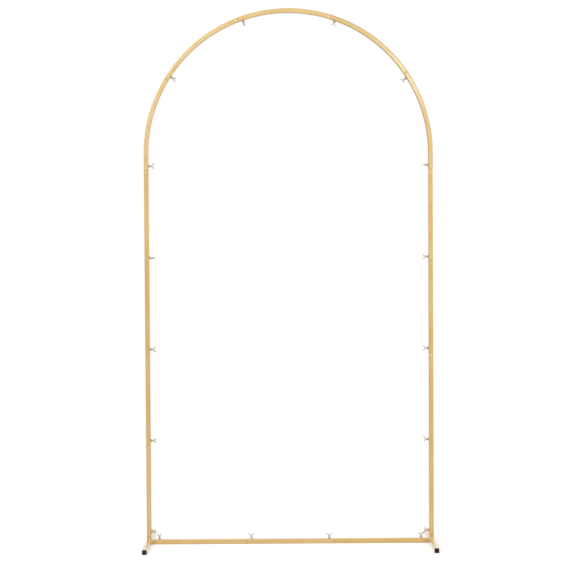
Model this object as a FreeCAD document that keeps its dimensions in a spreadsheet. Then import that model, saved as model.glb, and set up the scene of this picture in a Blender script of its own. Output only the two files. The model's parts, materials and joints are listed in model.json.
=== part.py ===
import FreeCAD, Part
import math
import os
import re
import Sketcher

# A knock-down wedding arch of square steel tube: two legs, a half-round top, a bottom rail and two feet.
# X runs across the arch, Y from front to back and Z up. The origin is on the floor, midway between the feet.
# Each tube plugs onto the sleeve of its neighbour, and a wing screw in a welded nut clamps the sleeve.

LEG_TUBES = 4
MIDDLE_ARCH_TUBES = 3
CAP_RIBS = 3
NUT_SIDES = 6
SCREW_SIDES = 10

# Driving sizes, in millimetres
SIZES = {
    "overall_width": 1185.0,
    "overall_height": 2200.0,
    "foot_length": 400.0,
    "tube_size": 19.0,
    "tube_wall": 1.0,
    "tube_corner": 1.2,
    "stub_length": 14.0,
    "spring_straight": 68.0,
    "closing_tube_extra": 27.0,
    "rail_middle_length": 360.0,
    "sleeve_gap": 0.3,
    "sleeve_wall": 1.0,
    "sleeve_corner": 0.9,
    "sleeve_root": 20.0,
    "sleeve_past_screw": 26.0,
    "nut_offset": 19.0,
    "nut_flats": 10.0,
    "nut_height": 6.5,
    "weld_radius": 7.8,
    "weld_height": 3.0,
    "screw_radius": 2.9,
    "screw_gap": 0.1,
    "tip_gap": 0.05,
    "thread_shown": 3.5,
    "hub_radius": 4.2,
    "hub_height": 6.0,
    "wing_reach": 9.7,
    "wing_rise": 10.5,
    "wing_tip_radius": 2.6,
    "wing_root_radius": 2.0,
    "wing_root_rise": 3.0,
    "wing_thickness": 2.4,
    "cap_flange": 2.0,
    "cap_edge": 0.8,
    "cap_core_length": 12.0,
    "cap_core_wall": 1.5,
    "cap_core_inset": 1.0,
    "cap_rib": 1.0,
    "cap_rib_pitch": 3.5,
}

# Sizes worked out from the driving ones, in millimetres and degrees
WORKED_OUT = {
    "leg_x": "(overall_width - tube_size) / 2",
    "arch_radius": "leg_x",
    "spring_height": "overall_height - tube_size / 2 - arch_radius",
    "leg_bottom": "tube_size + stub_length",
    "leg_tube_length": f"(spring_height - spring_straight - leg_bottom) / {LEG_TUBES}",
    "rail_end": "leg_x - tube_size / 2 - stub_length",
    "rail_outer_length": "rail_end - rail_middle_length / 2",
    "foot_tube_length": "foot_length - 2 * cap_flange",
    "bore": "tube_size - 2 * tube_wall",
    "sleeve_size": "bore - 2 * sleeve_gap",
    "sleeve_bore": "sleeve_size - 2 * sleeve_wall",
    "sleeve_reach": "nut_offset + sleeve_past_screw",
    "arc_per_length": "180 / pi / arch_radius",
    "arch_length": "pi * arch_radius + 2 * spring_straight",
    "arch_tube_length": f"(arch_length - closing_tube_extra) / {MIDDLE_ARCH_TUBES + 2}",
    "end_arc": "(arch_tube_length - spring_straight) * arc_per_length",
    "middle_arc": "arch_tube_length * arc_per_length",
    "closing_arc": f"180 - end_arc - {MIDDLE_ARCH_TUBES} * middle_arc",
    "nut_arc": "nut_offset * arc_per_length",
    "root_arc": "sleeve_root * arc_per_length",
    "reach_arc": "sleeve_reach * arc_per_length",
    "nut_corner_radius": "nut_flats / 2 / cos(30)",
    "screw_hole": "screw_radius + screw_gap",
    "screw_depth": "tube_wall + sleeve_gap - tip_gap",
    "hub_base": "nut_height + thread_shown",
    "cap_core": "bore - 2 * cap_core_inset",
    "cap_core_bore": "cap_core - 2 * cap_core_wall",
    "cap_rib_start": "cap_flange + cap_rib_pitch",
}

# How far each wing screw was left turned about its own axis, in degrees: at 0 its wings lie along the tube
LEFT_LEG_TURNS = (80.0, 35.0, 15.0, 70.0, 15.0)
RIGHT_LEG_TURNS = (0.0, 25.0, 40.0, 35.0, 90.0)
ARCH_TURNS = (55.0, 75.0, 15.0, 40.0)
RAIL_TURNS = (60.0, 10.0, 5.0, 30.0)

# Rotations that turn a straight tube or a wing screw, both made along +Z, the way it is used.
# The nut side of a tube is its +X side before it is turned.
UPRIGHT = "rotation(vector(0; 0; 1); 0)"
HALF_TURN = "rotation(vector(0; 0; 1); 180)"
Z_TO_RIGHT = "rotation(vector(1; 0; 1); 180)"
Z_TO_LEFT = "rotation(vector(0; 1; 0); -90)"
Z_TO_BACK = "rotation(vector(1; 0; 0); -90)"
Z_TO_FRONT = "rotation(vector(1; 0; 0); 90)"

# How a sketch numbers its own origin
ORIGIN_POINT = (-1, 1)

doc = FreeCAD.newDocument("WeddingArch")
sheet = doc.addObject("Spreadsheet::Sheet", "Sizes")


def fill_sheet():
    cells = dict(SIZES)
    cells.update({alias: "=" + formula for alias, formula in WORKED_OUT.items()})
    for row, (alias, content) in enumerate(cells.items(), 1):
        sheet.set(f"A{row}", alias)
        sheet.set(f"B{row}", str(content))
        sheet.setAlias(f"B{row}", alias)
    doc.recompute()


def bind(obj, prop, formula):
    """Binds a property to a formula whose words are the sheet's aliases."""
    named = re.sub(r"[a-z_]+", lambda word: aliased(word.group()), formula)
    obj.setExpression(prop, named)


def aliased(word):
    return "Sizes." + word if word in SIZES or word in WORKED_OUT else word


def value(alias):
    return float(getattr(sheet, alias))


def at(where="0; 0; 0", turn=UPRIGHT):
    """A placement as a formula, from where its origin goes and a rotation."""
    return f"placement(vector({where}); {turn})"


def place(obj, *steps):
    """Places an object by a chain of placements, the outermost first."""
    bind(obj, "Placement", " * ".join(steps))


def new_body(label):
    body = doc.addObject("PartDesign::Body", label)
    body.Label = label
    return body


def origin_part(body, role):
    return next(part for part in body.Origin.OriginFeatures if part.Role == role)


def new_sketch(body, name, plane, *steps):
    """Sketch on one of the body's origin planes, moved off it by a chain of placements."""
    sketch = body.newObject("Sketcher::SketchObject", name)
    sketch.AttachmentSupport = [(origin_part(body, plane), "")]
    sketch.MapMode = "FlatFace"
    bind(sketch, "AttachmentOffset", " * ".join(steps or [at()]))
    return sketch


def dimension(sketch, name, formula, *constraint):
    index = sketch.addConstraint(Sketcher.Constraint(*constraint))
    sketch.renameConstraint(index, name)
    bind(sketch, f"Constraints.{name}", formula)


def polygon(sketch, points):
    """Closed loop of lines through rough points, which dimensions then move to their places."""
    vectors = [FreeCAD.Vector(x, y, 0) for x, y in points]
    count = len(vectors)
    lines = []
    for i in range(count):
        side = Part.LineSegment(vectors[i], vectors[(i + 1) % count])
        lines.append(sketch.addGeometry(side, False))
    for i in range(count):
        sketch.addConstraint(Sketcher.Constraint("Coincident", lines[i], 2, lines[(i + 1) % count], 1))
    return lines


def square(sketch, name, alias):
    """Square centred on the sketch's origin."""
    half = value(alias) / 2
    bottom, right, top, left = polygon(sketch, [(-half, -half), (half, -half), (half, half), (-half, half)])
    for line in (bottom, top):
        sketch.addConstraint(Sketcher.Constraint("Horizontal", line))
    for line in (right, left):
        sketch.addConstraint(Sketcher.Constraint("Vertical", line))
    sketch.addConstraint(Sketcher.Constraint("Symmetric", bottom, 1, top, 1, *ORIGIN_POINT))
    dimension(sketch, name + "Width", alias, "DistanceX", bottom, 1, bottom, 2, 2 * half)
    dimension(sketch, name + "Depth", alias, "DistanceY", right, 1, right, 2, 2 * half)


def chamfered_square(sketch, name, alias, corner_alias):
    """Square centred on the sketch's origin, with a narrow flat in place of each rounded corner."""
    half = value(alias) / 2
    corner = value(corner_alias)
    flat = half - corner
    half_round = [(-flat, -half), (flat, -half), (half, -flat), (half, flat)]
    lines = polygon(sketch, half_round + [(-x, -y) for x, y in half_round])
    bottom, cut, right, next_cut, top, _, left, _ = lines
    sketch.addConstraint(Sketcher.Constraint("Horizontal", bottom))
    sketch.addConstraint(Sketcher.Constraint("Vertical", right))
    for line, opposite in zip(lines[:4], lines[4:]):
        sketch.addConstraint(Sketcher.Constraint("Symmetric", line, 1, opposite, 1, *ORIGIN_POINT))
    sketch.addConstraint(Sketcher.Constraint("Perpendicular", cut, next_cut))
    sketch.addConstraint(Sketcher.Constraint("Equal", cut, next_cut))
    dimension(sketch, name + "Width", alias, "DistanceX", left, 1, right, 1, 2 * half)
    dimension(sketch, name + "Depth", alias, "DistanceY", bottom, 1, top, 1, 2 * half)
    dimension(sketch, name + "CornerWidth", corner_alias, "DistanceX", cut, 1, cut, 2, corner)
    dimension(sketch, name + "CornerDepth", corner_alias, "DistanceY", cut, 1, cut, 2, corner)


def circle(sketch, name, alias):
    geometry = sketch.addGeometry(
        Part.Circle(FreeCAD.Vector(0, 0, 0), FreeCAD.Vector(0, 0, 1), value(alias)), False
    )
    sketch.addConstraint(Sketcher.Constraint("Coincident", geometry, 3, *ORIGIN_POINT))
    dimension(sketch, name, alias, "Radius", geometry, value(alias))


def regular_polygon(sketch, name, alias, sides):
    """Regular polygon round the sketch's origin, of a given radius over its corners."""
    radius = value(alias)
    turns = [2 * math.pi * i / sides for i in range(sides)]
    lines = polygon(sketch, [(radius * math.cos(a), radius * math.sin(a)) for a in turns])
    guide = sketch.addGeometry(
        Part.Circle(FreeCAD.Vector(0, 0, 0), FreeCAD.Vector(0, 0, 1), radius), True
    )
    sketch.addConstraint(Sketcher.Constraint("Coincident", guide, 3, *ORIGIN_POINT))
    for line in lines:
        sketch.addConstraint(Sketcher.Constraint("PointOnObject", line, 1, guide))
    for line in lines[1:]:
        sketch.addConstraint(Sketcher.Constraint("Equal", lines[0], line))
    sketch.addConstraint(Sketcher.Constraint("Horizontal", *ORIGIN_POINT, lines[0], 1))
    dimension(sketch, name, alias, "Radius", guide, radius)


def extrude(body, kind, name, sketch, length, backwards=False):
    """A Pad or a Pocket of a given length. A Pad goes along the sketch's normal and a Pocket against it."""
    feature = body.newObject("PartDesign::" + kind, name)
    feature.Profile = sketch
    feature.Reversed = backwards
    bind(feature, "Length", length)
    return feature


def turn_about(body, kind, name, sketch, axis, angle="360"):
    """A Revolution or a Groove of a given angle."""
    feature = body.newObject("PartDesign::" + kind, name)
    feature.Profile = sketch
    feature.ReferenceAxis = axis
    bind(feature, "Angle", angle)
    return feature


def nut(body, name, spot):
    """Six-sided weld nut with its weld on the nut side of a tube, drilled through to the bore.

    spot is the placement of the nut's axis, at the middle of the tube, on the plane that faces the nut side.
    """
    weld_foot = new_sketch(body, name + "WeldFoot", "YZ_Plane", spot, at("0; 0; (tube_size - tube_wall) / 2"))
    regular_polygon(weld_foot, "Corner", "weld_radius", NUT_SIDES)
    weld_top = new_sketch(body, name + "WeldTop", "YZ_Plane", spot, at("0; 0; tube_size / 2 + weld_height"))
    regular_polygon(weld_top, "Corner", "nut_corner_radius", NUT_SIDES)
    weld = body.newObject("PartDesign::AdditiveLoft", name + "Weld")
    weld.Profile = weld_foot
    weld.Sections = [weld_top]
    weld.Ruled = True
    outline = new_sketch(body, name + "Outline", "YZ_Plane", spot)
    regular_polygon(outline, "Corner", "nut_corner_radius", NUT_SIDES)
    extrude(body, "Pad", name, outline, "tube_size / 2 + nut_height")
    drill = new_sketch(body, name + "Drill", "YZ_Plane", spot)
    circle(drill, "Drill", "screw_hole")
    extrude(body, "Pocket", name + "Hole", drill, "tube_size / 2 + nut_height", backwards=True)


def straight_tube(label, length, sleeve, nuts, root="sleeve_root"):
    """Straight tube up +Z with its socket end on the XY plane.

    With sleeve, its top end carries the sleeve that the next tube plugs onto, which fills the bore for the
    length of its root. nuts lists the heights of its weld nuts, from name to formula.
    """
    body = new_body(label)
    outer = new_sketch(body, "Outer", "XY_Plane")
    chamfered_square(outer, "Tube", "tube_size", "tube_corner")
    extrude(body, "Pad", "Tube", outer, length)
    for name, height in nuts.items():
        nut(body, name, at(f"0; {height}; 0"))
    bore_length = length
    if sleeve:
        sleeve_outer = new_sketch(body, "SleeveOuter", "XY_Plane", at(f"0; 0; {length}"))
        chamfered_square(sleeve_outer, "Sleeve", "sleeve_size", "sleeve_corner")
        extrude(body, "Pad", "Sleeve", sleeve_outer, "sleeve_reach")
        sleeve_inner = new_sketch(body, "SleeveInner", "XY_Plane")
        square(sleeve_inner, "SleeveBore", "sleeve_bore")
        extrude(body, "Pocket", "SleeveBore", sleeve_inner, f"{length} + sleeve_reach", backwards=True)
        bore_length = f"{length} - {root}"
    if root != length:
        inner = new_sketch(body, "Inner", "XY_Plane")
        square(inner, "Bore", "bore")
        extrude(body, "Pocket", "Bore", inner, bore_length, backwards=True)
    return body


def bent_nut(body, name, arc):
    """Weld nut on the inner side of the arch, at an angle round the arch from its local start."""
    on_arch = f"0; arch_radius * sin({arc}); -arch_radius * cos({arc})"
    nut(body, name, at(on_arch, f"rotation(vector(1; 0; 0); {arc})"))


def bent_tube(label, arc, sleeve, straight, bent_nuts, straight_nuts):
    """Bent tube that starts at the arch's left spring point and runs up round the Y axis by an angle.

    With straight, it also runs straight down from there. With sleeve, its bent end carries the sleeve.
    """
    body = new_body(label)
    axis = (origin_part(body, "Y_Axis"), [""])
    start = at("-arch_radius; 0; 0")
    outer = new_sketch(body, "Outer", "XY_Plane", start)
    chamfered_square(outer, "Tube", "tube_size", "tube_corner")
    turn_about(body, "Revolution", "Bend", outer, axis, arc)
    if straight:
        extrude(body, "Pad", "Straight", outer, "spring_straight", backwards=True)
    for name, nut_arc in bent_nuts.items():
        bent_nut(body, name, nut_arc)
    for name, height in straight_nuts.items():
        nut(body, name, at(f"0; {height}; -arch_radius"))
    bore_arc = arc
    if sleeve:
        sleeve_outer = new_sketch(body, "SleeveOuter", "XY_Plane", start)
        chamfered_square(sleeve_outer, "Sleeve", "sleeve_size", "sleeve_corner")
        turn_about(body, "Revolution", "Sleeve", sleeve_outer, axis, f"{arc} + reach_arc")
        sleeve_inner = new_sketch(body, "SleeveInner", "XY_Plane", start)
        square(sleeve_inner, "SleeveBore", "sleeve_bore")
        turn_about(body, "Groove", "SleeveBore", sleeve_inner, axis, f"{arc} + reach_arc")
        bore_arc = f"{arc} - root_arc"
    inner = new_sketch(body, "Inner", "XY_Plane", start)
    square(inner, "Bore", "bore")
    turn_about(body, "Groove", "Bore", inner, axis, bore_arc)
    if straight:
        extrude(body, "Pocket", "StraightBore", inner, "spring_straight")
    return body


def leg(side, sign, turn):
    """Four equal tubes from the foot's stub up to the arch. sign is -1 on the left and 1 on the right."""
    for i in range(LEG_TUBES):
        tube = straight_tube(f"{side}_leg_tube_{i + 1}", "leg_tube_length", True, {"Nut": "nut_offset"})
        place(tube, at(f"{sign} * leg_x; 0; leg_bottom + {i} * leg_tube_length", turn))


def arch():
    """Three equal middle tubes, a left end tube and a closing tube that has a socket at both ends."""
    centre = "0; 0; spring_height"
    low_nut = {"LowNut": "nut_offset - spring_straight"}
    left = bent_tube("arch_tube_1", "end_arc", True, True, {}, low_nut)
    place(left, at(centre))
    for i in range(MIDDLE_ARCH_TUBES):
        middle = bent_tube(f"arch_tube_{i + 2}", "middle_arc", True, False, {"Nut": "nut_arc"}, {})
        place(middle, at(centre, f"rotation(vector(0; 1; 0); end_arc + {i} * middle_arc)"))
    high_nut = {"HighNut": "closing_arc - nut_arc"}
    last = f"arch_tube_{MIDDLE_ARCH_TUBES + 2}"
    closing = bent_tube(last, "closing_arc", False, True, high_nut, low_nut)
    place(closing, at(centre, HALF_TURN))


def rail():
    """Two outer tubes on the stubs' sleeves, with a middle tube on theirs."""
    middle_height = "tube_size / 2"
    nuts = {"Nut": "nut_offset"}
    left = straight_tube("rail_tube_left", "rail_outer_length", True, nuts)
    place(left, at(f"-rail_end; 0; {middle_height}", Z_TO_RIGHT))
    right = straight_tube("rail_tube_right", "rail_outer_length", True, nuts)
    place(right, at(f"rail_end; 0; {middle_height}", Z_TO_LEFT))
    nuts = {"Nut": "nut_offset", "FarNut": "rail_middle_length - nut_offset"}
    middle = straight_tube("rail_tube_middle", "rail_middle_length", False, nuts)
    place(middle, at(f"-rail_middle_length / 2; 0; {middle_height}", Z_TO_RIGHT))


def foot(side, sign, inwards):
    """Foot tube with its end caps, the stub that carries the leg and the stub that carries the rail."""
    where = f"{sign} * leg_x"
    tube = straight_tube(f"{side}_foot_tube", "foot_tube_length", False, {})
    place(tube, at(f"{where}; -foot_tube_length / 2; tube_size / 2", Z_TO_BACK))
    upright = straight_tube(f"{side}_upright_stub", "stub_length", True, {}, root="stub_length")
    place(upright, at(f"{where}; 0; tube_size"))
    across = straight_tube(f"{side}_rail_stub", "stub_length", True, {}, root="stub_length")
    place(across, at(f"{sign} * (leg_x - tube_size / 2); 0; tube_size / 2", inwards))
    for end, along, turn in (("front", -1, Z_TO_BACK), ("rear", 1, Z_TO_FRONT)):
        cap = foot_cap(f"{side}_{end}_foot_cap")
        place(cap, at(f"{where}; {along} * foot_length / 2; tube_size / 2", turn))


def foot_cap(label):
    """End plug with its outer face on the XY plane and its ribbed core up +Z, inside the tube."""
    body = new_body(label)
    outline = new_sketch(body, "Outline", "XY_Plane")
    chamfered_square(outline, "Flange", "tube_size", "tube_corner")
    flange = extrude(body, "Pad", "Flange", outline, "cap_flange")
    doc.recompute()
    tops = [edge.BoundBox.ZMax for edge in flange.Shape.Edges]
    rim = [f"Edge{i}" for i, top in enumerate(tops, 1) if top < value("cap_flange") / 2]
    rounding = body.newObject("PartDesign::Chamfer", "Rim")
    rounding.Base = (flange, rim)
    bind(rounding, "Size", "cap_edge")
    core = new_sketch(body, "CoreOutline", "XY_Plane", at("0; 0; cap_flange"))
    square(core, "Core", "cap_core")
    extrude(body, "Pad", "Core", core, "cap_core_length")
    rib = new_sketch(body, "RibOutline", "XY_Plane", at("0; 0; cap_rib_start"))
    square(rib, "Rib", "bore")
    first = extrude(body, "Pad", "Rib", rib, "cap_rib")
    ribs = body.newObject("PartDesign::LinearPattern", "Ribs")
    ribs.Originals = [first]
    ribs.Direction = (origin_part(body, "Z_Axis"), [""])
    ribs.Occurrences = CAP_RIBS
    bind(ribs, "Length", f"{CAP_RIBS - 1} * cap_rib_pitch")
    body.Tip = ribs
    hollow = new_sketch(body, "HollowOutline", "XY_Plane", at("0; 0; cap_flange"))
    square(hollow, "Hollow", "cap_core_bore")
    extrude(body, "Pocket", "Hollow", hollow, "cap_core_length", backwards=True)
    return body


def wing_outline(sketch):
    """One wing: a small circle at the hub and a larger one at the tip, and two lines that touch both."""
    root = FreeCAD.Vector(0, value("hub_base") + value("wing_root_rise"), 0)
    tip = FreeCAD.Vector(value("wing_reach"), value("hub_base") + value("wing_rise"), 0)
    root_radius, tip_radius = value("wing_root_radius"), value("wing_tip_radius")
    along = tip - root
    slope = math.atan2(along.y, along.x)
    lean = math.acos((root_radius - tip_radius) / along.Length)
    up = FreeCAD.Vector(math.cos(slope + lean), math.sin(slope + lean), 0)
    down = FreeCAD.Vector(math.cos(slope - lean), math.sin(slope - lean), 0)
    normal = FreeCAD.Vector(0, 0, 1)
    lower = Part.LineSegment(root + down * root_radius, tip + down * tip_radius)
    upper = Part.LineSegment(tip + up * tip_radius, root + up * root_radius)
    tip_arc = Part.ArcOfCircle(Part.Circle(tip, normal, tip_radius), slope - lean, slope + lean)
    root_arc = Part.ArcOfCircle(
        Part.Circle(root, normal, root_radius), slope + lean, slope - lean + 2 * math.pi
    )
    loop = [sketch.addGeometry(part, False) for part in (lower, tip_arc, upper, root_arc)]
    for part, following in zip(loop, loop[1:] + loop[:1]):
        sketch.addConstraint(Sketcher.Constraint("Tangent", part, 2, following, 1))
    tip_index, root_index = loop[1], loop[3]
    sketch.addConstraint(Sketcher.Constraint("Vertical", *ORIGIN_POINT, root_index, 3))
    dimension(sketch, "TipRadius", "wing_tip_radius", "Radius", tip_index, tip_radius)
    dimension(sketch, "RootRadius", "wing_root_radius", "Radius", root_index, root_radius)
    dimension(sketch, "Reach", "wing_reach", "DistanceX", *ORIGIN_POINT, tip_index, 3, tip.x)
    dimension(sketch, "Rise", "hub_base + wing_rise", "DistanceY", *ORIGIN_POINT, tip_index, 3, tip.y)
    rise = "hub_base + wing_root_rise"
    dimension(sketch, "RootRise", rise, "DistanceY", *ORIGIN_POINT, root_index, 3, root.y)


def wing_screw(label):
    """Wing screw with its axis up +Z, the tube's outer face on the XY plane and its wings along X.

    Its round stretches have few sides, because the frame has many screws.
    """
    body = new_body(label)
    shank = new_sketch(body, "ShankOutline", "XY_Plane", at("0; 0; -screw_depth"))
    regular_polygon(shank, "Shank", "screw_radius", SCREW_SIDES)
    extrude(body, "Pad", "Shank", shank, "screw_depth + hub_base")
    hub = new_sketch(body, "HubOutline", "XY_Plane", at("0; 0; hub_base"))
    regular_polygon(hub, "Hub", "hub_radius", SCREW_SIDES)
    extrude(body, "Pad", "Hub", hub, "hub_height")
    wing = new_sketch(body, "WingOutline", "XZ_Plane", at("0; 0; -wing_thickness / 2"))
    wing_outline(wing)
    one = extrude(body, "Pad", "Wing", wing, "wing_thickness")
    pair = body.newObject("PartDesign::Mirrored", "Wings")
    pair.Originals = [one]
    pair.MirrorPlane = (origin_part(body, "YZ_Plane"), [""])
    body.Tip = pair
    return body


def wing_screws():
    """A wing screw in each nut. The screws of each leg, of the arch and of the rail are one sub-part each."""
    inner_face = "leg_x - tube_size / 2"
    low_nut = "leg_bottom + nut_offset"
    for side, face, turn, turns in (
        ("left", f"-({inner_face})", Z_TO_RIGHT, LEFT_LEG_TURNS),
        ("right", inner_face, Z_TO_LEFT, RIGHT_LEG_TURNS),
    ):
        heights = [f"{low_nut} + {i} * leg_tube_length" for i in range(LEG_TUBES + 1)]
        places = [[at(f"{face}; 0; {height}", turn)] for height in heights]
        screw_set(f"{side}_leg_wing_screws", places, turns)
    arcs = [f"end_arc + {i} * middle_arc + nut_arc" for i in range(MIDDLE_ARCH_TUBES + 1)]
    to_face = at(f"-({inner_face}); 0; 0", Z_TO_RIGHT)
    places = [[at("0; 0; spring_height", f"rotation(vector(0; 1; 0); {arc})"), to_face] for arc in arcs]
    screw_set("arch_wing_screws", places, ARCH_TURNS)
    outer, inner = "rail_end - nut_offset", "rail_middle_length / 2 - nut_offset"
    across = (f"-({outer})", f"-({inner})", inner, outer)
    places = [[at(f"{where}; 0; tube_size")] for where in across]
    screw_set("rail_wing_screws", places, RAIL_TURNS)


def screw_set(label, places, turns):
    """One sub-part of several wing screws, which stand apart, each with its own chain of placement steps."""
    screws = []
    for steps, turn in zip(places, turns):
        screw = wing_screw(f"{label}_{len(screws) + 1}")
        place(screw, *steps, at(turn=f"rotation(vector(0; 0; 1); {turn})"))
        screws.append(screw)
    together = doc.addObject("Part::Compound", label)
    together.Label = label
    together.Links = screws


def objects_of(kind):
    return [obj for obj in doc.Objects if obj.TypeId == kind]


def sub_parts():
    """The compounds, and every body that is in none of them."""
    compounds = objects_of("Part::Compound")
    shared = [body.Name for compound in compounds for body in compound.Links]
    return compounds + [body for body in objects_of("PartDesign::Body") if body.Name not in shared]


def check():
    """Stops where a feature failed, a cut removed nothing or a sub-part's shape isn't sound."""
    for obj in doc.Objects:
        if {"Invalid", "Error"} & set(obj.State):
            raise RuntimeError(f"{obj.Label} failed: {obj.State}")
    for cut in objects_of("PartDesign::Pocket") + objects_of("PartDesign::Groove"):
        if cut.Shape.Volume >= cut.BaseFeature.Shape.Volume:
            raise RuntimeError(f"{cut.Label} cuts nothing")
    for body in objects_of("PartDesign::Body"):
        if len(body.Shape.Solids) != 1:
            raise RuntimeError(f"{body.Label} isn't one solid")
    for part in sub_parts():
        if part.Shape.isNull() or not part.Shape.isValid():
            raise RuntimeError(f"{part.Label} isn't a valid shape")


fill_sheet()
foot("left", -1, Z_TO_RIGHT)
foot("right", 1, Z_TO_LEFT)
leg("left", -1, UPRIGHT)
leg("right", 1, HALF_TURN)
arch()
rail()
wing_screws()
doc.recompute()
check()
os.makedirs("parts", exist_ok=True)
for part in sub_parts():
    part.Shape.exportStep(f"parts/{part.Label}.step")
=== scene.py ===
import json
import math
from collections import namedtuple

import bmesh
import bpy
from mathutils import Matrix, Vector

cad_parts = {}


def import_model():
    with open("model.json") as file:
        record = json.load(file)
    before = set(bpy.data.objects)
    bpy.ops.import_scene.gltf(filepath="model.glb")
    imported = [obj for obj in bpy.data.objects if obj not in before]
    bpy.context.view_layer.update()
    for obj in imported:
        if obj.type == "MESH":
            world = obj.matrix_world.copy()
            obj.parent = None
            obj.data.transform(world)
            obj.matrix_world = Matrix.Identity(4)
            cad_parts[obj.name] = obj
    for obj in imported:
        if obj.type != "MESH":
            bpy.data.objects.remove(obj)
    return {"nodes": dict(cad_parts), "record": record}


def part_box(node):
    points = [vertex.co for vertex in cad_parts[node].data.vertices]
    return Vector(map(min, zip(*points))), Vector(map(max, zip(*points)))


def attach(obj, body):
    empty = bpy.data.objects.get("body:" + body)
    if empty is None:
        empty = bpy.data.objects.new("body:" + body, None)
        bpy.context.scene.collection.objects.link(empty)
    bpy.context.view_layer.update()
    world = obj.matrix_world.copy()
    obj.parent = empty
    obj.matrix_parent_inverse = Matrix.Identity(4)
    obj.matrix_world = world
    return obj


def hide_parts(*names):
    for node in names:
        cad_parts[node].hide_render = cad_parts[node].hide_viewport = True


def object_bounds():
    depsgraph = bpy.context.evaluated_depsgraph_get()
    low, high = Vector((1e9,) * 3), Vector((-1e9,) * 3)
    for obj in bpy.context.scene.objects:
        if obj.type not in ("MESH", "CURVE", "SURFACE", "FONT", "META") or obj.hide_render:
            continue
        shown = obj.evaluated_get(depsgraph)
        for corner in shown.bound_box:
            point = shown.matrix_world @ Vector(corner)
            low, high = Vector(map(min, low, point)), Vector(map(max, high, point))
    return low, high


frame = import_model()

# A knock-down wedding arch of gold-painted square steel tube. X runs across the arch, Y from front to back
# and Z up. Lengths are in metres, and angles in radians unless their comment says degrees.

CAD_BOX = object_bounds()
BODY = "root"
MM = 0.001
UP = Vector((0.0, 0.0, 1.0))
RIGHT = Vector((1.0, 0.0, 0.0))
BACK = Vector((0.0, 1.0, 0.0))
SIDES = (("left", -1), ("right", 1))

# The frame. A sleeve has its root in the tube that carries it, and reaches past that tube's end. The arch
# has a straight stretch below each spring point, and its last tube is longer than the others.
Section = namedtuple("Section", "size corner bore bore_corner")
TUBE = 19 * MM
TUBE_CORNER = 2 * MM
BORE = 17 * MM
TUBE_SECTION = Section(TUBE, TUBE_CORNER, BORE, 1 * MM)
SLEEVE_SECTION = Section(16.4 * MM, 1.5 * MM, 14.4 * MM, 0.75 * MM)
SLEEVE_ROOT = 20 * MM
SLEEVE_REACH = 45 * MM
STUB = 14 * MM
SPRING_STRAIGHT = 68 * MM
CLOSING_TUBE_EXTRA = 27 * MM
RAIL_MIDDLE = 360 * MM
LEG_TUBES = 4
ARCH_TUBES = 5
FOOT_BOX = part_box("right_foot_tube")
LEG_X = (FOOT_BOX[0].x + FOOT_BOX[1].x) / 2
FOOT_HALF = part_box("right_rear_foot_cap")[1].y
SPRING_HEIGHT = CAD_BOX[1].z - TUBE / 2 - LEG_X
LEG_BOTTOM = TUBE + STUB
LEG_TUBE = (SPRING_HEIGHT - SPRING_STRAIGHT - LEG_BOTTOM) / LEG_TUBES
HALF_ROUND = math.pi * LEG_X
ARCH_TUBE = (HALF_ROUND + 2 * SPRING_STRAIGHT - CLOSING_TUBE_EXTRA) / ARCH_TUBES
RAIL_END = LEG_X - TUBE / 2 - STUB

# Where the tubes of the arch start and end, measured along it from the left spring point
ARCH_SEAMS = [-SPRING_STRAIGHT + i * ARCH_TUBE for i in range(ARCH_TUBES)] + [HALF_ROUND + SPRING_STRAIGHT]

# Tube ends. The profile of the lip has the length along the tube and how far the section is drawn in.
LIP = 0.5 * MM
LIP_PROFILE = ((0.0, LIP), (0.12 * LIP, 0.5 * LIP), (0.45 * LIP, 0.12 * LIP), (LIP, 0.0))
CUT_DEPTH = 0.3 * LIP
RING_STEP = 9 * MM
CORNER_STEPS = 5
# How far the painted shade of a long edge reaches across the faces, and the darker band of an end along the
# tube
EDGE_FADE = 2.5 * MM
END_FADE = 3.5 * MM

# Nuts, and the fillet of weld round each. The fillet starts below the tube's face, goes from its foot to
# its rim, and ends inside the nut at a radius and height. Its ripples and lumps are shares of its radius,
# with their counts once round. The ripples' slant is in radians per metre.
NUT_OFFSET = 19 * MM
NUT_FLATS = 10 * MM
NUT_CORNER_RADIUS = 5.6 * MM
NUT_HEIGHT = 6.5 * MM
NUT_HOLE = 3.1 * MM
NUT_CHAMFER = 0.5 * MM
NUT_STEPS = 48
WELD_FOOT = 8.0 * MM
WELD_RIM = 5.35 * MM
WELD_HEIGHT = 3.1 * MM
WELD_SINK = 0.4 * MM
WELD_FOOT_BELOW = 7.84 * MM
WELD_RIM_INSIDE = (4.5 * MM, 2.976 * MM)
WELD_RADIUS_POWER = 0.62
WELD_HEIGHT_POWER = 1.25
WELD_STEPS = 6
WELD_RIPPLE = 0.018
WELD_RIPPLES = 9
WELD_RIPPLE_SLANT = 900
WELD_LUMP = 0.02
WELD_LUMPS = 2
WELD_LUMP_TURN = 1.0

# Beads of weld at the stubs. A bead is full along most of its length, and falls off near its ends by a
# high power of the share of the length.
BEAD_RADIUS = 1.7 * MM
BEAD_PITCH = 1.5 * MM
BEAD_RIPPLE = 0.06
BEAD_LAG = 0.5 * MM
BEAD_INSET = 1.2 * MM
BEAD_STEPS = 60
BEAD_RING_STEPS = 12
BEAD_END_POWER = 12
BEAD_END_LEAST = 0.02

# Plug-weld marks
SPOT_OFFSET = 8.5 * MM
SPOT_RADIUS = 2.9 * MM
SPOT_RISE = 0.4 * MM
SPOT_SINK = 0.1 * MM
SPOT_RINGS = 8
SPOT_STEPS = 24

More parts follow.
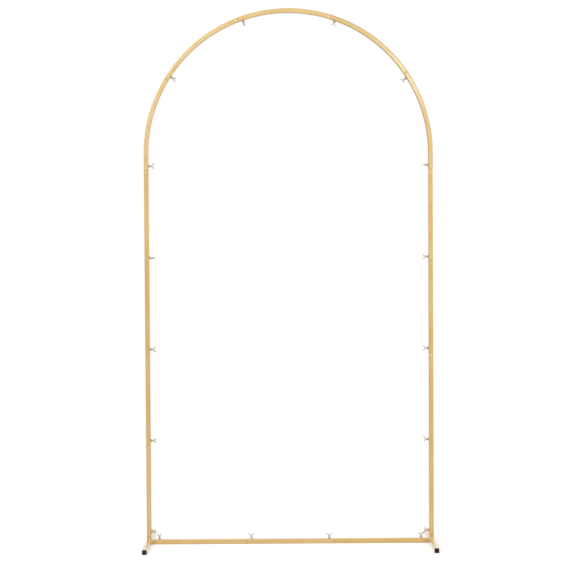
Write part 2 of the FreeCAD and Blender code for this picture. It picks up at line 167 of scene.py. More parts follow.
# Foot caps: a crowned head outside the tube, given by the depth, size and corner of its sections in
# millimetres, and a core inside it whose ribs grip the bore
CAP_FLANGE = 2 * MM
CAP_HEAD = (
    (0.0, 14.0, 3.0),
    (0.12, 16.0, 2.6),
    (0.45, 17.7, 2.3),
    (1.0, 18.7, 2.1),
    (1.9, 19.0, 2.0),
    (2.0, 18.8, 1.9),
)
CAP_CORE = 15 * MM
CAP_CORE_CORNER = 1 * MM
CAP_LENGTH = 14 * MM
CAP_TIP = 14.6 * MM
CAP_RIBS = 3
CAP_RIB_FIRST = 5.5 * MM
CAP_RIB_PITCH = 3.5 * MM
CAP_RIB_WIDTH = 1 * MM
CAP_RIB_FLANK = 0.1 * MM
CAP_RIB_TAPER = 0.4 * MM

# Wing screws, measured outwards along the screw from the tube's face. The point's profile has radius and
# height over the tip, and the hub's has shares of its radius and height. The thread's rings are for each
# pitch. A wing's section is squarer the lower its power is.
SCREW_STEPS = 32
SCREW_TIP = -1.25 * MM
SCREW_POINT = ((0.4 * MM, 0.0), (2.0 * MM, 0.0), (2.4 * MM, 0.5 * MM))
THREAD_START = SCREW_TIP + 1 * MM
THREAD_RADIUS = 2.9 * MM
THREAD_DEPTH = 0.5 * MM
THREAD_PITCH = 1.0 * MM
THREAD_RINGS = 6
HUB_BASE = 10 * MM
HUB_START = HUB_BASE + 0.01 * MM
HUB_RADIUS = 4.2 * MM
HUB_HEIGHT = 6 * MM
HUB_PROFILE = ((0.88, 0.0), (1.0, 0.07), (1.02, 0.2), (0.98, 0.72), (0.9, 0.88), (0.72, 0.97), (0.3, 1.0))
WING_ROOT_RISE = 3 * MM
WING_ROOT_RADIUS = 2 * MM
WING_ROOT_THICKNESS = 2.64 * MM
WING_REACH = 9.7 * MM
WING_RISE = 10.5 * MM
WING_TIP_RADIUS = 2.6 * MM
WING_TIP_THICKNESS = 2.04 * MM
WING_FLARE_POWER = 1.5
WING_STEPS = 4
WING_END_ANGLE = math.radians(84)
WING_END_THINNEST = 0.55
WING_END_STEPS = 6
WING_RING_STEPS = 20
WING_RING_POWER = 0.55

# How far each screw is turned, in degrees: up the legs, along the arch and along the rail from the left
LEG_TURNS = {"left": (80.0, 35.0, 15.0, 70.0, 15.0), "right": (0.0, 25.0, 40.0, 35.0, 90.0)}
ARCH_TURNS = (55.0, 75.0, 15.0, 40.0)
RAIL_TURNS = (60.0, 10.0, 5.0, 30.0)

# Faces of a piece that meet at more than this many degrees meet at a sharp edge
SHARP_ANGLES = {"gold_paint": 40.0, "plated_steel": 35.0, "black_plastic": 32.0}

# Colours, linear. A deep colour is the darker tone of a paint. An edge colour is painted shade along the
# tubes' long edges, and darkens their ends.
GOLD = (0.734, 0.540, 0.300, 1.0)
GOLD_DEEP = (0.580, 0.357, 0.070, 1.0)
GOLD_EDGE = (0.36, 0.255, 0.07, 1.0)
# The pale gold of the plug-weld spots is a painted highlight, lighter than the tubes for the light the
# mounds catch
GOLD_SPOT_HIGHLIGHT = (0.98, 0.80, 0.46, 1.0)
GOLD_SPOT_HIGHLIGHT_DEEP = (0.68, 0.47, 0.20, 1.0)
GOLD_WELD = (0.50, 0.36, 0.16, 1.0)
GOLD_WELD_DEEP = (0.36, 0.25, 0.10, 1.0)
CUT_EDGE = (0.20, 0.13, 0.06, 1.0)
NICKEL = (0.57, 0.54, 0.455, 1.0)
NICKEL_DARK = (0.30, 0.28, 0.215, 1.0)
BLACK = (0.020, 0.014, 0.011, 1.0)
BLACK_PALE = (0.036, 0.027, 0.021, 1.0)
WHITE = (1.0, 1.0, 1.0, 1.0)
FLOOR_WHITE = (0.8, 0.8, 0.8, 1.0)

# Colours of the lamps
PLAIN = (1.0, 1.0, 1.0)
COOL = (0.80, 0.90, 1.0)

# How light the paint of a tube is, from 0 to 1, as the tubes of the photograph differ. The feet's high
# tones are
# painted reflection: their glossy tops reflect the bright surroundings. Those that aren't named have the
# plain tone.
PLAIN_TONE = 0.2
TONES_AND_FOOT_REFLECTION = {
    "left_leg_tube_1": 0.28, "left_leg_tube_2": 0.1, "left_leg_tube_3": 0.0, "left_leg_tube_4": 0.14,
    "right_leg_tube_1": 0.14, "right_leg_tube_2": 0.14, "right_leg_tube_3": 0.1, "right_leg_tube_4": 0.1,
    "arch_tube_1": 0.46, "arch_tube_2": 0.44, "arch_tube_3": 0.32, "arch_tube_4": 0.25, "arch_tube_5": 0.18,
    "rail_tube_left": 0.18, "rail_tube_middle": 0.21, "rail_tube_right": 0.09,
    # Painted reflection: the feet are lighter, as their glossy tops reflect the bright surroundings
    "left_foot_tube": 0.9, "right_foot_tube": 1.0,
}

# How much the clouds in the paint change its tone and its roughness
CLOUD_TONE = (-0.085, 0.085)
CLOUD_ROUGHNESS = (-0.04, 0.05)

# Between these lies the middle of a noise
NOISE_LOW = 0.35
NOISE_HIGH = 0.65

# How much of the edge colour shows, from 0 to 1, at a tube's ends and along its long edges. Along the long
# edges it is painted shade, standing in for the darker surroundings that rounded corners reflect; at the
# ends it makes a darker band.
# The tubes of the arch have their own for the long edges, with the most painted shade on the right shoulder
# by the glint.
END_DARKENING = 0.5
EDGE_SHADE = 0.3
EDGE_SHADES = {
    "arch_tube_1": 0.5, "arch_tube_2": 0.5, "arch_tube_3": 0.5, "arch_tube_4": 1.0, "arch_tube_5": 1.0,
}

# Surroundings. The floor turns plain white between two distances from the middle of the arch.
WORLD_STRENGTH = 0.45
FLOOR_SIZE = 40.0
FLOOR_GLOW = 0.25
FLOOR_PLAIN_FROM = 0.75
FLOOR_PLAIN_TO = 1.6

# Camera of the photograph: its angles are in degrees, and its lens and sensor in millimetres
CAMERA_AT = Vector((-0.020, -5.407, 1.193))
CAMERA_YAW = 0.168
CAMERA_PITCH = -1.458
CAMERA_ROLL = -0.325
CAMERA_LENS = 82.15
CAMERA_SENSOR = 36.0
CAMERA_NEAR = 0.05
CAMERA_FAR = 100.0


# Materials

def new_material(name):
    material = bpy.data.materials.new(name)
    material.use_nodes = True
    return material, material.node_tree.nodes, material.node_tree.links


def attribute(nodes, name):
    """Value that each point of a mesh carries under a name."""
    made = nodes.new("ShaderNodeAttribute")
    made.attribute_name = name
    return made.outputs["Fac"]


def noise(nodes, links, scale, detail):
    """Noise in the object's own metres."""
    where = nodes.new("ShaderNodeTexCoord")
    texture = nodes.new("ShaderNodeTexNoise")
    texture.inputs["Scale"].default_value = scale
    texture.inputs["Detail"].default_value = detail
    links.new(where.outputs["Object"], texture.inputs["Vector"])
    return texture.outputs["Fac"]


def ramp(nodes, links, value, stops):
    """Colour ramp between two stops, each a pair of place and colour."""
    made = nodes.new("ShaderNodeValToRGB")
    links.new(value, made.inputs["Fac"])
    for element, (place, colour) in zip(made.color_ramp.elements, stops):
        element.position = place
        element.color = colour
    return made.outputs["Color"]


def spread(nodes, links, value, low, high):
    """Maps the middle of a noise, which is where most of it lies, to a range."""
    made = nodes.new("ShaderNodeMapRange")
    made.inputs["From Min"].default_value = NOISE_LOW
    made.inputs["From Max"].default_value = NOISE_HIGH
    made.inputs["To Min"].default_value = low
    made.inputs["To Max"].default_value = high
    links.new(value, made.inputs["Value"])
    return made.outputs["Result"]


def bump(nodes, links, shader, height, distance, strength):
    made = nodes.new("ShaderNodeBump")
    made.inputs["Strength"].default_value = strength
    made.inputs["Distance"].default_value = distance
    links.new(height, made.inputs["Height"])
    links.new(made.outputs["Normal"], shader.inputs["Normal"])


def gold_paint(name, colour, deep, edge, roughness):
    """Sprayed gold paint: faint clouds of colour, an edge colour mixed in by the edge value, an orange-peel
    surface and a clear gloss.
    """
    material, nodes, links = new_material(name)
    shader = nodes["Principled BSDF"]
    clouds = noise(nodes, links, scale=11.0, detail=2.0)
    shade = nodes.new("ShaderNodeMath")
    shade.operation = "ADD"
    links.new(attribute(nodes, "tone"), shade.inputs[0])
    links.new(spread(nodes, links, clouds, *CLOUD_TONE), shade.inputs[1])
    # The edge colour is painted shade along the tubes' long edges, and darkens their ends and the spots'
    # rims
    mixed = nodes.new("ShaderNodeMix")
    mixed.data_type = "RGBA"
    links.new(attribute(nodes, "edge"), mixed.inputs["Factor"])
    links.new(ramp(nodes, links, shade.outputs["Value"], [(0.0, deep), (1.0, colour)]), mixed.inputs["A"])
    mixed.inputs["B"].default_value = edge
    links.new(mixed.outputs["Result"], shader.inputs["Base Color"])
    low, high = (roughness + change for change in CLOUD_ROUGHNESS)
    links.new(spread(nodes, links, clouds, low, high), shader.inputs["Roughness"])
    peel = noise(nodes, links, scale=420.0, detail=2.0)
    bump(nodes, links, shader, peel, distance=0.05 * MM, strength=0.03)
    shader.inputs["Metallic"].default_value = 0.5
    shader.inputs["Coat Weight"].default_value = 1.0
    shader.inputs["Coat Roughness"].default_value = 0.1
    shader.inputs["Coat IOR"].default_value = 1.75
    return material


def worn_edge():
    """Cut end of a tube, where the paint is thin and grainy."""
    material, nodes, links = new_material("cut_edge")
    shader = nodes["Principled BSDF"]
    grain = noise(nodes, links, scale=300.0, detail=3.0)
    links.new(ramp(nodes, links, grain, [(0.3, CUT_EDGE), (0.75, GOLD_DEEP)]), shader.inputs["Base Color"])
    shader.inputs["Metallic"].default_value = 0.3
    shader.inputs["Roughness"].default_value = 0.6
    return material


def cast_nickel():
    """Dull plated casting: a fine pitted surface, darker in its hollows."""
    material, nodes, links = new_material("plated_steel")
    shader = nodes["Principled BSDF"]
    grain = noise(nodes, links, scale=650.0, detail=4.0)
    links.new(ramp(nodes, links, grain, [(0.3, NICKEL_DARK), (0.62, NICKEL)]), shader.inputs["Base Color"])
    links.new(spread(nodes, links, grain, low=0.3, high=0.5), shader.inputs["Roughness"])
    bump(nodes, links, shader, grain, distance=0.12 * MM, strength=0.6)
    shader.inputs["Metallic"].default_value = 0.8
    return material


def moulded_black():
    """Moulded plastic with a fine spark-eroded grain."""
    material, nodes, links = new_material("black_plastic")
    shader = nodes["Principled BSDF"]
    grain = noise(nodes, links, scale=900.0, detail=2.0)
    links.new(ramp(nodes, links, grain, [(0.3, BLACK), (0.8, BLACK_PALE)]), shader.inputs["Base Color"])
    links.new(spread(nodes, links, grain, low=0.42, high=0.6), shader.inputs["Roughness"])
    bump(nodes, links, shader, grain, distance=0.06 * MM, strength=0.5)
    shader.inputs["Specular IOR Level"].default_value = 0.12
    return material


# The materials of each slot. The painted pieces have four, which PAINT, CUT, SPOT and WELD number.
PAINT, CUT, SPOT, WELD = range(4)
MATERIALS = {
    "gold_paint": (
        gold_paint("gold_paint", GOLD, GOLD_DEEP, GOLD_EDGE, roughness=0.36),
        worn_edge(),
        # The spots' pale paint is a painted highlight
        gold_paint("gold_spot_highlight", GOLD_SPOT_HIGHLIGHT, GOLD_SPOT_HIGHLIGHT_DEEP, GOLD_DEEP, roughness=0.24),
        gold_paint("gold_weld", GOLD_WELD, GOLD_WELD_DEEP, GOLD_EDGE, roughness=0.42),
    ),
    "plated_steel": (cast_nickel(),),
    "black_plastic": (moulded_black(),),
}


# Shapes as lists of points and faces

def rounded_square(size, corner):
    """Points of a rounded square about the origin, in X and Y, anticlockwise.

    Each corner has a point on either side of it, where the painted shade of the edge has faded.
    """
    points = []
    centre = Vector((size / 2 - corner, size / 2 - corner))
    for quarter in range(4):
        turn = Matrix.Rotation(quarter * math.pi / 2, 2)
        points.append(turn @ Vector((size / 2, size / 2 - corner - EDGE_FADE)))
        for step in range(CORNER_STEPS):
            angle = math.pi / 2 * step / (CORNER_STEPS - 1)
            points.append(turn @ (centre + corner * Vector((math.cos(angle), math.sin(angle)))))
        points.append(turn @ Vector((size / 2 - corner - EDGE_FADE, size / 2)))
    return points


# Which points of a rounded square are on a corner, in their order
SECTION_EDGES = ([0.0] + [1.0] * CORNER_STEPS + [0.0]) * 4


def skin(rings, loop=False):
    """Points and faces of the surface through rings with equal counts of points.

    In a loop the last ring is joined to the first. Otherwise a face closes each end.
    """
    count = len(rings[0])
    points = [point for ring in rings for point in ring]
    faces = []
    for i in range(len(rings) if loop else len(rings) - 1):
        low = i * count
        high = (i + 1) % len(rings) * count
        for this in range(count):
            following = (this + 1) % count
            faces.append((low + this, low + following, high + following, high + this))
    if not loop:
        faces.append(tuple(reversed(range(count))))
        faces.append(tuple(range(len(points) - count, len(points))))
    return points, faces


def lathe(profile, steps, radius_at=None):
    """Surface of revolution about Z through pairs of radius and height. radius_at may alter each radius."""
    rings = []
    for radius, height in profile:
        ring = []
        for step in range(steps):
            angle = 2 * math.pi * step / steps
            here = radius_at(radius, height, angle) if radius_at else radius
            ring.append(Vector((here * math.cos(angle), here * math.sin(angle), height)))
        rings.append(ring)
    return skin(rings)


class Shell:
    """Collects surfaces into the piece that stands for a node."""

    def __init__(self, node, ending, slot, tone=PLAIN_TONE):
        self.node = node
        self.name = f"{node}_{ending}"
        self.slot = slot
        self.tone = tone
        self.mesh = bmesh.new()
        self.edge_layer = self.mesh.verts.layers.float.new("edge")
        self.tone_layer = self.mesh.verts.layers.float.new("tone")

    def add(self, surface, where=Matrix.Identity(4), material=PAINT, darkening=(0.0,)):
        """Adds a surface. darkening is repeated over its points, and says how much of the edge colour shows
        there.
        """
        points, faces = surface
        corners = [self.mesh.verts.new(where @ point) for point in points]
        for i, corner in enumerate(corners):
            corner[self.edge_layer] = darkening[i % len(darkening)]
            corner[self.tone_layer] = self.tone
        for face in faces:
            made = self.mesh.faces.new([corners[i] for i in face])
            made.smooth = True
            made.material_index = material

    def finish(self):
        """Makes the object, which rides on the body and replaces the node."""
        bmesh.ops.recalc_face_normals(self.mesh, faces=self.mesh.faces)
        sharp = math.radians(SHARP_ANGLES[self.slot])
        for edge in self.mesh.edges:
            edge.smooth = len(edge.link_faces) == 2 and edge.calc_face_angle() < sharp
        data = bpy.data.meshes.new(self.name)
        self.mesh.to_mesh(data)
        self.mesh.free()
        for material in MATERIALS[self.slot]:
            data.materials.append(material)
        piece = bpy.data.objects.new(self.name, data)
        bpy.context.scene.collection.objects.link(piece)
        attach(piece, BODY)
        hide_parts(self.node)


# Places along the tubes. Each path gives, at a length along it, a matrix whose Z runs along the tube and
# whose X points out of the side that carries the nuts.

def axes(origin, out, along):
    """A matrix at a place, with its X outwards and its Z along."""
    matrix = Matrix((out, along.cross(out), along)).transposed().to_4x4()
    matrix.translation = origin
    return matrix


def straight_path(origin, out, along):
    return lambda length: axes(origin + along * length, out, along)


def leg_path(sign):
    return straight_path(Vector((sign * LEG_X, 0.0, 0.0)), -sign * RIGHT, UP)


def arch_path(length):
    """Length is measured from the left spring point, and is negative down the straight stretch below it."""
    bent = min(max(length, 0.0), HALF_ROUND)
    angle = bent / LEG_X
    along = Vector((math.sin(angle), 0.0, math.cos(angle)))
    inwards = Vector((math.cos(angle), 0.0, -math.sin(angle)))
    centre = Vector((0.0, 0.0, SPRING_HEIGHT))
    return axes(centre - LEG_X * inwards + along * (length - bent), inwards, along)


def on_face(matrix, out):
    """A matrix on one of a tube's faces, with its Z outwards and its X along the tube.

    out points out of that face, in the tube's own axes.
    """
    along = matrix.to_3x3() @ UP
    outwards = matrix.to_3x3() @ out
    return axes(matrix.translation + outwards * TUBE / 2, along, outwards)


# Tubes

def section_ring(path, length, size, corner):
    """Ring of a rounded square across a path."""
    where = path(length)
    return [where @ point.to_3d() for point in rounded_square(size, corner)]


def lengths_between(start, end, bent):
    """Lengths inside a stretch, close together where the path may be bent."""
    steps = max(1, round((end - start) / RING_STEP)) if bent else 1
    return [start + (end - start) * i / steps for i in range(1, steps)]


def outside_stations(start, end, bent):
    """Stations along a tube's outside, with rounded ends that are darker.

    Each is a length, how far the section is drawn in, and how much of an end's darkening it has.
    """
    rounding = [(length, drawn_in, 1.0) for length, drawn_in in LIP_PROFILE] + [(LIP + END_FADE, 0.0, 0.0)]
    first = [(start + length, drawn_in, darkening) for length, drawn_in, darkening in rounding]
    last = [(end - length, drawn_in, darkening) for length, drawn_in, darkening in reversed(rounding)]
    middle = lengths_between(start + LIP + END_FADE, end - LIP - END_FADE, bent)
    return first + [(length, 0.0, 0.0) for length in middle] + last


def hollow_tube(path, start, end, section, bent, edge_shade=0.0):
    """Square tube as one closed surface, and how dark each of its points is: painted shade along its long
    edges, and a darker band at its ends.

    The surface goes out along the tube's outside and back along its bore.
    """
    stations = outside_stations(start, end, bent)
    outside = [
        section_ring(path, length, section.size - 2 * drawn_in, section.corner)
        for length, drawn_in, _ in stations
    ]
    back = [end, *reversed(lengths_between(start, end, bent)), start]
    inside = [section_ring(path, length, section.bore, section.bore_corner) for length in back]
    end_darkenings = [END_DARKENING * share for _, _, share in stations] + [END_DARKENING] * len(inside)
    # Painted shade along the long edges, or the darker band of the ends, whichever is more
    darkening = [max(edge_shade * edge, end_darkening) for end_darkening in end_darkenings for edge in SECTION_EDGES]
    return skin(outside + inside, loop=True), darkening


def mark_cut_ends(shell, path, start, end):
    """Gives the cut ends of a tube the darker material of a worn edge."""
    first = path(start).inverted()
    last = path(end).inverted()
    for face in shell.mesh.faces:
        middle = face.calc_center_median()
        if min(abs((first @ middle).z), abs((last @ middle).z)) < CUT_DEPTH:
            face.material_index = CUT


def weld_nut(shell, where):
    """Chamfered hexagon nut in a fillet of weld, on a tube's face. where has its Z along the nut."""
    def flats(radius, height, angle):
        side = math.pi / 3
        turned = (angle + side / 2) % side - side / 2
        return min(radius, NUT_FLATS / 2 / math.cos(turned))

    profile = [
        (NUT_CORNER_RADIUS, -WELD_SINK),
        (NUT_CORNER_RADIUS, NUT_HEIGHT - NUT_CHAMFER),
        (NUT_FLATS / 2, NUT_HEIGHT),
        (NUT_HOLE, NUT_HEIGHT),
        (NUT_HOLE, WELD_SINK),
    ]
    shell.add(lathe(profile, NUT_STEPS, flats), where, WELD)

    def ripples(radius, height, angle):
        ripple = WELD_RIPPLE * math.sin(WELD_RIPPLES * angle + WELD_RIPPLE_SLANT * height)
        lump = WELD_LUMP * math.sin(WELD_LUMPS * angle + WELD_LUMP_TURN)
        return radius * (1 + ripple + lump)

    fillet = [(WELD_FOOT_BELOW, -WELD_SINK)]
    for step in range(WELD_STEPS + 1):
        share = step / WELD_STEPS
        radius = WELD_FOOT + (WELD_RIM - WELD_FOOT) * share ** WELD_RADIUS_POWER
        fillet.append((radius, WELD_HEIGHT * share ** WELD_HEIGHT_POWER))
    fillet.append(WELD_RIM_INSIDE)
    shell.add(lathe(fillet, NUT_STEPS, ripples), where, WELD)


def weld_spot(shell, where):
    """Low mound that a plug weld leaves on the face of a tube. where has its Z out of the face.

    Its pale paint is a painted highlight, and its outer half darkens, most at its rim.
    """
    profile = [(SPOT_RADIUS, -SPOT_SINK)]
    for step in range(SPOT_RINGS):
        share = 1 - step / SPOT_RINGS
        profile.append((SPOT_RADIUS * share, SPOT_RISE * (1 + math.cos(math.pi * share)) / 2))
    darkening = [max(0.0, 2 * radius / SPOT_RADIUS - 1) for radius, _ in profile for _ in range(SPOT_STEPS)]
    shell.add(lathe(profile, SPOT_STEPS), where, SPOT, darkening)


def weld_bead(shell, where, side):
    """Rippled bead at the foot of a tube that stands on another's face. where has its Z along the tube.

    side is the tube's side that is welded, in its own axes. The ripples are bowed, and lag most on the
    bead's outer side.
    """
    run = side.cross(UP)
    rings = []
    for step in range(BEAD_STEPS + 1):
        share = 2 * step / BEAD_STEPS - 1
        length = share * (TUBE / 2 - BEAD_INSET)
        rounding = math.sqrt(max(BEAD_END_LEAST, 1 - share ** BEAD_END_POWER))
        ripple = 1 + BEAD_RIPPLE * math.sin(2 * math.pi * length / BEAD_PITCH)
        radius = BEAD_RADIUS * rounding * ripple
        ring = []
        for i in range(BEAD_RING_STEPS):
            angle = 2 * math.pi * i / BEAD_RING_STEPS
            lag = BEAD_LAG * rounding * math.cos(angle)
            out = math.cos(angle) * side + math.sin(angle) * UP
            ring.append(side * TUBE / 2 + run * (length - lag) + radius * out)
        rings.append(ring)
    shell.add(skin(rings), where)


def painted_tube(node, path, start, end, sleeve_root=None, nuts=(), bent=False, spots=True, welded=()):
    """The painted tube that stands for a node. Its sleeve, if it has a root for one, is at its end.

    welded lists the sides by which its start is welded on another tube's face. Such a tube starts inside
    the other's rounded corners.
    """
    shell = Shell(node, "painted", "gold_paint", TONES_AND_FOOT_REFLECTION.get(node, PLAIN_TONE))
    first = start - TUBE_CORNER if welded else start
    # The long edges get painted shade, by the node's own amount or the plain one
    tube, darkening = hollow_tube(path, first, end, TUBE_SECTION, bent, EDGE_SHADES.get(node, EDGE_SHADE))
    shell.add(tube, darkening=darkening)
    mark_cut_ends(shell, path, start, end)
    if sleeve_root:
        sleeve, _ = hollow_tube(path, end - sleeve_root, end + SLEEVE_REACH, SLEEVE_SECTION, bent)
        shell.add(sleeve)
        if spots:
            for side in (BACK, -BACK):
                weld_spot(shell, on_face(path(end - SPOT_OFFSET), side))
    for nut in nuts:
        weld_nut(shell, on_face(path(nut), RIGHT))
    for side in welded:
        weld_bead(shell, path(start), side)
    shell.finish()


def legs():
    for side, sign in SIDES:
        path = leg_path(sign)
        for i in range(LEG_TUBES):
            start = LEG_BOTTOM + i * LEG_TUBE
            end = start + LEG_TUBE
            nuts = [start + NUT_OFFSET]
            painted_tube(f"{side}_leg_tube_{i + 1}", path, start, end, SLEEVE_ROOT, nuts)


def arch():
    """The last tube closes the frame: it has no sleeve, and a nut at both ends."""
    for i in range(ARCH_TUBES):
        start, end = ARCH_SEAMS[i], ARCH_SEAMS[i + 1]
        closing = i == ARCH_TUBES - 1
        root = None if closing else SLEEVE_ROOT
        nuts = [start + NUT_OFFSET, end - NUT_OFFSET] if closing else [start + NUT_OFFSET]
        painted_tube(f"arch_tube_{i + 1}", arch_path, start, end, root, nuts, bent=True)


def rail():
    middle = UP * TUBE / 2
    for side, sign in SIDES:
        path = straight_path(middle + RIGHT * sign * RAIL_END, UP, -sign * RIGHT)
        end = RAIL_END - RAIL_MIDDLE / 2
        painted_tube(f"rail_tube_{side}", path, 0.0, end, SLEEVE_ROOT, [NUT_OFFSET])
    path = straight_path(middle - RIGHT * RAIL_MIDDLE / 2, UP, RIGHT)
    nuts = [NUT_OFFSET, RAIL_MIDDLE - NUT_OFFSET]
    painted_tube("rail_tube_middle", path, 0.0, RAIL_MIDDLE, nuts=nuts)


# Feet

def stub(node, path, welded):
    """Short tube that is welded on a foot, with a sleeve for the leg or the rail."""
    painted_tube(node, path, 0.0, STUB, sleeve_root=STUB, spots=False, welded=welded)


def foot_cap(node, origin, inwards):
    """Moulded end plug: a slightly crowned head, and a ribbed core inside the tube."""
    sections = [(depth * MM, size * MM, corner * MM) for depth, size, corner in CAP_HEAD]
    sections.append((CAP_FLANGE, CAP_CORE, CAP_CORE_CORNER))
    for i in range(CAP_RIBS):
        near = CAP_RIB_FIRST + i * CAP_RIB_PITCH
        far = near + CAP_RIB_WIDTH
        sections.append((near - CAP_RIB_FLANK, CAP_CORE, CAP_CORE_CORNER))
        sections.append((near, BORE, CAP_CORE_CORNER))
        sections.append((far, BORE - CAP_RIB_TAPER, CAP_CORE_CORNER))
        sections.append((far + CAP_RIB_FLANK, CAP_CORE, CAP_CORE_CORNER))
    sections.append((CAP_LENGTH, CAP_TIP, CAP_CORE_CORNER))
    path = straight_path(origin, UP, inwards)
    shell = Shell(node, "moulded", "black_plastic")
    shell.add(skin([section_ring(path, *section) for section in sections]))
    shell.finish()


def feet():
    half = FOOT_HALF - CAP_FLANGE
    for side, sign in SIDES:
        inwards = -sign * RIGHT
        middle = Vector((sign * LEG_X, 0.0, TUBE / 2))
        painted_tube(f"{side}_foot_tube", straight_path(middle, UP, BACK), -half, half)
        upright = straight_path(middle + UP * TUBE / 2, inwards, UP)
        stub(f"{side}_upright_stub", upright, (BACK, -BACK, RIGHT))
        level = straight_path(middle + inwards * TUBE / 2, UP, inwards)
        stub(f"{side}_rail_stub", level, (BACK, -BACK))
        for end, way in (("front", -1), ("rear", 1)):
            foot_cap(f"{side}_{end}_foot_cap", middle + BACK * way * FOOT_HALF, -way * BACK)


# Wing screws

def screw_body(shell, where):
    """Threaded shank and crowned hub."""
    def thread(radius, height, angle):
        if radius < THREAD_RADIUS or height > HUB_BASE:
            return radius
        share = (height / THREAD_PITCH - angle / (2 * math.pi)) % 1.0
        return THREAD_RADIUS - THREAD_DEPTH * abs(2 * share - 1)

    profile = [(radius, SCREW_TIP + rise) for radius, rise in SCREW_POINT]
    length = HUB_BASE - THREAD_START
    count = math.floor(length / THREAD_PITCH * THREAD_RINGS)
    profile += [(THREAD_RADIUS, THREAD_START + length * step / count) for step in range(count + 1)]
    profile += [(HUB_RADIUS * width, HUB_START + HUB_HEIGHT * rise) for width, rise in HUB_PROFILE]
    shell.add(lathe(profile, SCREW_STEPS, thread), where)


def screw_wing(shell, where, sign):
    """One cast ear: it widens and thins a little towards its rounded tip."""
    root = Vector((0.0, 0.0, HUB_BASE + WING_ROOT_RISE))
    tip = Vector((sign * WING_REACH, 0.0, HUB_BASE + WING_RISE))
    along = (tip - root).normalized()
    across = along.cross(BACK)
    stations = []
    for step in range(WING_STEPS + 1):
        share = step / WING_STEPS
        radius = WING_ROOT_RADIUS + (WING_TIP_RADIUS - WING_ROOT_RADIUS) * share ** WING_FLARE_POWER
        thickness = WING_ROOT_THICKNESS + (WING_TIP_THICKNESS - WING_ROOT_THICKNESS) * share
        stations.append((root.lerp(tip, share), radius, thickness))
    for step in range(1, WING_END_STEPS + 1):
        angle = WING_END_ANGLE * step / WING_END_STEPS
        beyond = tip + along * WING_TIP_RADIUS * math.sin(angle)
        thinned = WING_END_THINNEST + (1 - WING_END_THINNEST) * math.cos(angle)
        stations.append((beyond, WING_TIP_RADIUS * math.cos(angle), WING_TIP_THICKNESS * thinned))
    rings = []
    for middle, radius, thickness in stations:
        ring = []
        for step in range(WING_RING_STEPS):
            angle = 2 * math.pi * step / WING_RING_STEPS
            wide, deep = (
                math.copysign(abs(share) ** WING_RING_POWER, share)
                for share in (math.cos(angle), math.sin(angle))
            )
            ring.append(middle + across * radius * wide + BACK * thickness / 2 * deep)
        rings.append(ring)
    shell.add(skin(rings), where)


def screw_set(node, path, lengths, turns):
    """The wing screws that stand for a node, at lengths along a path."""
    shell = Shell(node, "cast", "plated_steel")
    for length, turn in zip(lengths, turns):
        where = on_face(path(length), RIGHT) @ Matrix.Rotation(math.radians(turn), 4, "Z")
        screw_body(shell, where)
        for sign in (-1, 1):
            screw_wing(shell, where, sign)
    shell.finish()


def wing_screws():
    for side, sign in SIDES:
        lengths = [LEG_BOTTOM + NUT_OFFSET + i * LEG_TUBE for i in range(LEG_TUBES + 1)]
        screw_set(f"{side}_leg_wing_screws", leg_path(sign), lengths, LEG_TURNS[side])
    screw_set("arch_wing_screws", arch_path, [seam + NUT_OFFSET for seam in ARCH_SEAMS[1:-1]], ARCH_TURNS)
    outer = RAIL_END - NUT_OFFSET
    inner = RAIL_MIDDLE / 2 - NUT_OFFSET
    path = straight_path(UP * TUBE / 2, UP, RIGHT)
    screw_set("rail_wing_screws", path, (-outer, -inner, inner, outer), RAIL_TURNS)


# Surroundings

def seen_rays(nodes, links):
    """1 for rays from the camera and for rays that show the surroundings in gloss or glass, else 0."""
    path = nodes.new("ShaderNodeLightPath")
    value = path.outputs["Is Camera Ray"]
    for name in ("Is Glossy Ray", "Is Transmission Ray"):
        either = nodes.new("ShaderNodeMath")
        either.operation = "MAXIMUM"
        links.new(value, either.inputs[0])
        links.new(path.outputs[name], either.inputs[1])
        value = either.outputs[0]
    return value


def mix_shaders(nodes, links, share, first, second):
    """First where share is 0, and second where it is 1."""
    mix = nodes.new("ShaderNodeMixShader")
    links.new(share, mix.inputs[0])
    links.new(first, mix.inputs[1])
    links.new(second, mix.inputs[2])
    return mix.outputs[0]


def emission(nodes, strength):
    made = nodes.new("ShaderNodeEmission")
    made.inputs["Strength"].default_value = strength
    return made.outputs[0]


def world():
    """Even white light, with plain white where the world is seen."""
    scene = bpy.context.scene
    scene.world = bpy.data.worlds.new("white")
    scene.world.use_nodes = True
    nodes, links = scene.world.node_tree.nodes, scene.world.node_tree.links
    light = nodes["Background"]
    light.inputs["Color"].default_value = WHITE
    light.inputs["Strength"].default_value = WORLD_STRENGTH
    plain = nodes.new("ShaderNodeBackground")
    plain.inputs["Color"].default_value = WHITE
    plain.inputs["Strength"].default_value = 1.0
    mixed = mix_shaders(nodes, links, seen_rays(nodes, links), light.outputs[0], plain.outputs[0])
    links.new(mixed, nodes["World Output"].inputs["Surface"])


def distance_share(nodes, links, near, far):
    """0 up to one distance from the origin, 1 from another on, and smooth between them."""
    place = nodes.new("ShaderNodeNewGeometry")
    length = nodes.new("ShaderNodeVectorMath")
    length.operation = "LENGTH"
    links.new(place.outputs["Position"], length.inputs[0])
    made = nodes.new("ShaderNodeMapRange")
    made.interpolation_type = "SMOOTHSTEP"
    made.inputs["From Min"].default_value = near
    made.inputs["From Max"].default_value = far
    links.new(length.outputs["Value"], made.inputs["Value"])
    return made.outputs["Result"]


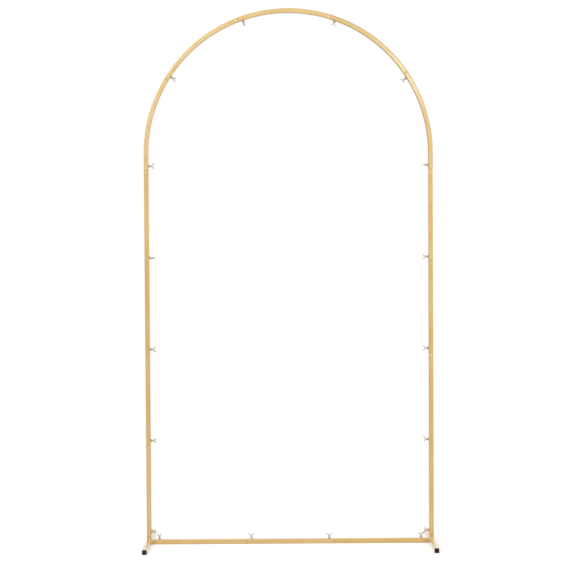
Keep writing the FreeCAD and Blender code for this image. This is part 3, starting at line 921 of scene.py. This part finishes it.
def floor():
    """White floor that keeps the soft shadow near the arch and turns plain white further away."""
    bpy.ops.mesh.primitive_plane_add(size=FLOOR_SIZE, location=(0.0, 0.0, 0.0))
    plane = bpy.context.object
    plane.name = "floor"
    material, nodes, links = new_material("floor")
    shader = nodes["Principled BSDF"]
    shader.inputs["Base Color"].default_value = FLOOR_WHITE
    shader.inputs["Roughness"].default_value = 0.9
    shader.inputs["Specular IOR Level"].default_value = 0.0
    near = nodes.new("ShaderNodeAddShader")
    links.new(shader.outputs[0], near.inputs[0])
    links.new(emission(nodes, FLOOR_GLOW), near.inputs[1])
    far = distance_share(nodes, links, FLOOR_PLAIN_FROM, FLOOR_PLAIN_TO)
    shown = mix_shaders(nodes, links, far, near.outputs[0], emission(nodes, 1.0))
    mixed = mix_shaders(nodes, links, seen_rays(nodes, links), shader.outputs[0], shown)
    links.new(mixed, nodes["Material Output"].inputs["Surface"])
    plane.data.materials.append(material)


def lamp(name, where, aim, size, power, colour=PLAIN):
    """Square lamp of a size in metres and a power in watts."""
    data = bpy.data.lights.new(name, "AREA")
    data.size = size
    data.energy = power
    data.color = colour
    obj = bpy.data.objects.new(name, data)
    obj.location = where
    obj.rotation_euler = (Vector(aim) - Vector(where)).to_track_quat("-Z", "Y").to_euler()
    bpy.context.scene.collection.objects.link(obj)


def lights():
    """Three large lamps, and a small one whose glint lies on the right shoulder of the arch."""
    lamp("key", where=(-4.5, -6.5, 6.0), aim=(0.0, 0.0, 1.1), size=5.0, power=404.0)
    lamp("fill", where=(5.0, -6.0, 3.2), aim=(0.0, 0.0, 0.9), size=5.0, power=226.0)
    lamp("top", where=(0.0, 2.0, 7.0), aim=(0.0, 0.0, 1.0), size=5.0, power=148.0)
    lamp("glint", where=(0.92, -5.0, 2.6), aim=(0.48, 0.0, 1.92), size=0.45, power=2.3, colour=COOL)


def camera():
    yaw, pitch, roll = (math.radians(angle) for angle in (CAMERA_YAW, CAMERA_PITCH, CAMERA_ROLL))
    forward = Vector((math.sin(yaw) * math.cos(pitch), math.cos(yaw) * math.cos(pitch), math.sin(pitch)))
    level = Vector((math.cos(yaw), -math.sin(yaw), 0.0))
    upright = level.cross(forward)
    right = math.cos(roll) * level + math.sin(roll) * upright
    up = math.cos(roll) * upright - math.sin(roll) * level
    data = bpy.data.cameras.new("camera")
    data.lens = CAMERA_LENS
    data.sensor_width = CAMERA_SENSOR
    data.clip_start = CAMERA_NEAR
    data.clip_end = CAMERA_FAR
    obj = bpy.data.objects.new("camera", data)
    obj.matrix_world = Matrix.Translation(CAMERA_AT) @ Matrix((right, up, -forward)).transposed().to_4x4()
    bpy.context.scene.collection.objects.link(obj)
    bpy.context.scene.camera = obj


# The scene. The CAD nodes, which the pieces replace, get the first material of their slots.

for part in frame["record"]["subparts"]:
    node = frame["nodes"][part["node"]]
    node.data.materials.clear()
    node.data.materials.append(MATERIALS[part["material_slot"]][0])

feet()
legs()
arch()
rail()
wing_screws()
world()
floor()
lights()
camera()
bpy.context.scene.view_settings.view_transform = "Standard"
